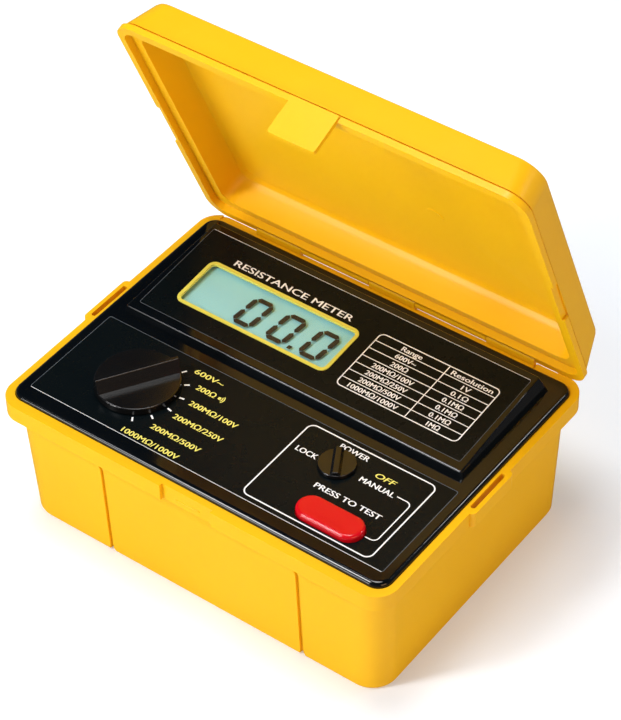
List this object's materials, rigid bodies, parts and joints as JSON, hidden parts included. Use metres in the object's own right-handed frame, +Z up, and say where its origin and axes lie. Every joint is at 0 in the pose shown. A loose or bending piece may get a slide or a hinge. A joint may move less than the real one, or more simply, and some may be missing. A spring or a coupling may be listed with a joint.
{
  "type": "insulation resistance tester",
  "caption": "Portable digital insulation resistance tester in a yellow case with a hinged lid, sloping display deck, range knob, power knob and red test button.",
  "frame": {"origin": "on the standing plane, under the middle of the case", "axes": "+X to the right along the front, +Y to the back, +Z up"},
  "size_m": [0.2022, 0.1626, 0.2069],
  "materials": {
    "yellow_case": "moulded ABS, fine satin",
    "steel": "zinc plated",
    "black_panel": "glossy moulded",
    "printed_sheet": "printed film, semi-matt",
    "yellow_bezel": "satin",
    "clear_window": "clear",
    "display_cell": "reflective liquid crystal",
    "conductive_rubber": "matt",
    "circuit_board": "solder mask",
    "chip_black": "moulded epoxy",
    "knob_black": "satin",
    "switch_plastic": "moulded",
    "nickel": "nickel plated",
    "button_red": "glossy",
    "battery_cover_yellow": "moulded ABS, fine satin",
    "cell_can": "plain printed sleeve",
    "jack_red": "satin",
    "jack_black": "satin",
    "socket_brass": "nickel flashed",
    "ferrite": "ground",
    "winding": "taped winding",
    "capacitor_film": "dipped",
    "capacitor_can": "sleeved"
  },
  "bodies": {
    "case": {"battery_cell_1": "cell_can", "battery_cell_2": "cell_can", "battery_cell_3": "cell_can", "battery_cell_4": "cell_can", "battery_cell_5": "cell_can", "battery_cell_6": "cell_can", "battery_cell_7": "cell_can", "battery_cell_8": "cell_can", "battery_contacts": "nickel", "battery_cover": "battery_cover_yellow", "board_link": "switch_plastic", "board_screws": "steel", "case_tub": "yellow_case", "contact_strips": "conductive_rubber", "control_chip": "chip_black", "control_panel": "black_panel", "cover_screws": "steel", "display_board": "circuit_board", "display_chip": "chip_black", "earth_jack_housing": "jack_black", "earth_jack_socket": "socket_brass", "fuse": "clear_window", "fuse_holder": "nickel", "high_voltage_capacitors": "capacitor_film", "hinge_pin": "steel", "jack_nuts": "nickel", "lcd_bezel": "yellow_bezel", "lcd_glass": "display_cell", "lcd_holder": "black_panel", "lcd_window": "clear_window", "line_jack_housing": "jack_red", "line_jack_socket": "socket_brass", "lower_faceplate": "printed_sheet", "main_board": "circuit_board", "panel_screws": "steel", "power_switch_body": "switch_plastic", "power_switch_nut": "nickel", "range_resistors": "capacitor_film", "range_switch_body": "switch_plastic", "range_switch_nut": "nickel", "reservoir_capacitors": "capacitor_can", "rubber_feet": "conductive_rubber", "sounder": "chip_black", "switch_pins": "nickel", "test_spring": "steel", "test_switch": "chip_black", "transformer_coil": "winding", "transformer_core": "ferrite", "trimmers": "switch_plastic", "upper_faceplate": "printed_sheet"},
    "range_selector": {"range_knob": "knob_black", "range_shaft": "nickel", "range_wiper": "switch_plastic"},
    "power_selector": {"power_knob": "knob_black", "power_shaft": "nickel", "power_wiper": "switch_plastic"},
    "test_key": {"test_button": "button_red", "test_plunger": "switch_plastic"},
    "lid_assembly": {"lid": "yellow_case"}
  },
  "joints": [
    {"name": "lid_hinge", "type": "hinge", "parent": "case", "child": "lid_assembly", "pos_m": [0, 0.0738, 0.0677], "axis": [-1, 0, 0], "range_deg": [-67.9, 40]},
    {"name": "range_turn", "type": "hinge", "parent": "case", "child": "range_selector", "pos_m": [-0.0537, -0.035, 0.07], "axis": [0, 0, 1], "range_deg": [-115, 0]},
    {"name": "power_turn", "type": "hinge", "parent": "case", "child": "power_selector", "pos_m": [0.0417, -0.025, 0.07], "axis": [0, 0, 1], "range_deg": [-90, 0]},
    {"name": "test_press", "type": "slide", "parent": "case", "child": "test_key", "axis": [0, 0, -1], "range_m": [0, 0.0022], "stiffness_N_per_m": 600, "springref_m": -0.001, "deforming": ["test_spring"]}
  ]
}
